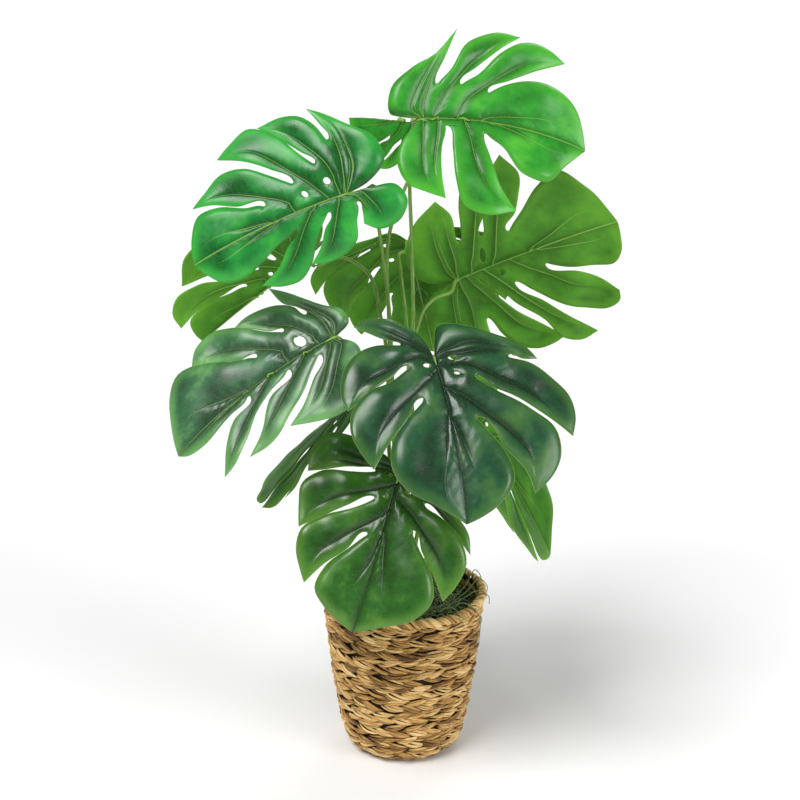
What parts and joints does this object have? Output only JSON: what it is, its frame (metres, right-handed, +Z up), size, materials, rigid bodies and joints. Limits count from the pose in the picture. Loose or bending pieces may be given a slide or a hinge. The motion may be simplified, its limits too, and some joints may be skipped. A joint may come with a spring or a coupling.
{
  "type": "potted monstera plant in a woven basket",
  "caption": "Split-leaf monstera houseplant with tall stalks, growing in a nursery pot set inside a round woven seagrass basket.",
  "frame": {"origin": "centre of the basket's foot, on the surface that it stands on", "axes": "+Z up along the basket's axis, -Y towards the plant's front, +X to the right seen from the front"},
  "size_m": [0.482, 0.3526, 0.8085],
  "materials": {
    "seagrass": "woven dry seagrass, golden tan with dark gaps",
    "pot_plastic": "thin black nursery pot",
    "potting_soil": "dark loose potting soil",
    "moss": "dry stringy moss",
    "stalk": "smooth olive green stalk",
    "crown_bark": "green-brown root crown",
    "leaf_bright": "glossy bright green leaf",
    "leaf_olive": "matt olive green leaf underside",
    "leaf_dark": "glossy dark bluish green leaf",
    "leaf_middle": "glossy mid green leaf"
  },
  "bodies": {
    "root": {"basket": "seagrass", "nursery_pot": "pot_plastic", "soil": "potting_soil", "moss": "moss", "root_crown": "crown_bark", "leaf_top_right": "leaf_bright", "leaf_top_left": "leaf_bright", "leaf_top_back": "leaf_bright", "leaf_right": "leaf_olive", "leaf_left_back": "leaf_olive", "leaf_hanging": "leaf_olive", "leaf_left": "leaf_dark", "leaf_centre": "leaf_dark", "leaf_front": "leaf_middle", "leaf_low_left": "leaf_middle", "leaf_low_right": "leaf_middle", "stalk_top_right": "stalk", "stalk_top_left": "stalk", "stalk_top_back": "stalk", "stalk_right": "stalk", "stalk_left_back": "stalk", "stalk_hanging": "stalk", "stalk_left": "stalk", "stalk_centre": "stalk", "stalk_front": "stalk", "stalk_low_left": "stalk", "stalk_low_right": "stalk"}
  },
  "joints": []
}
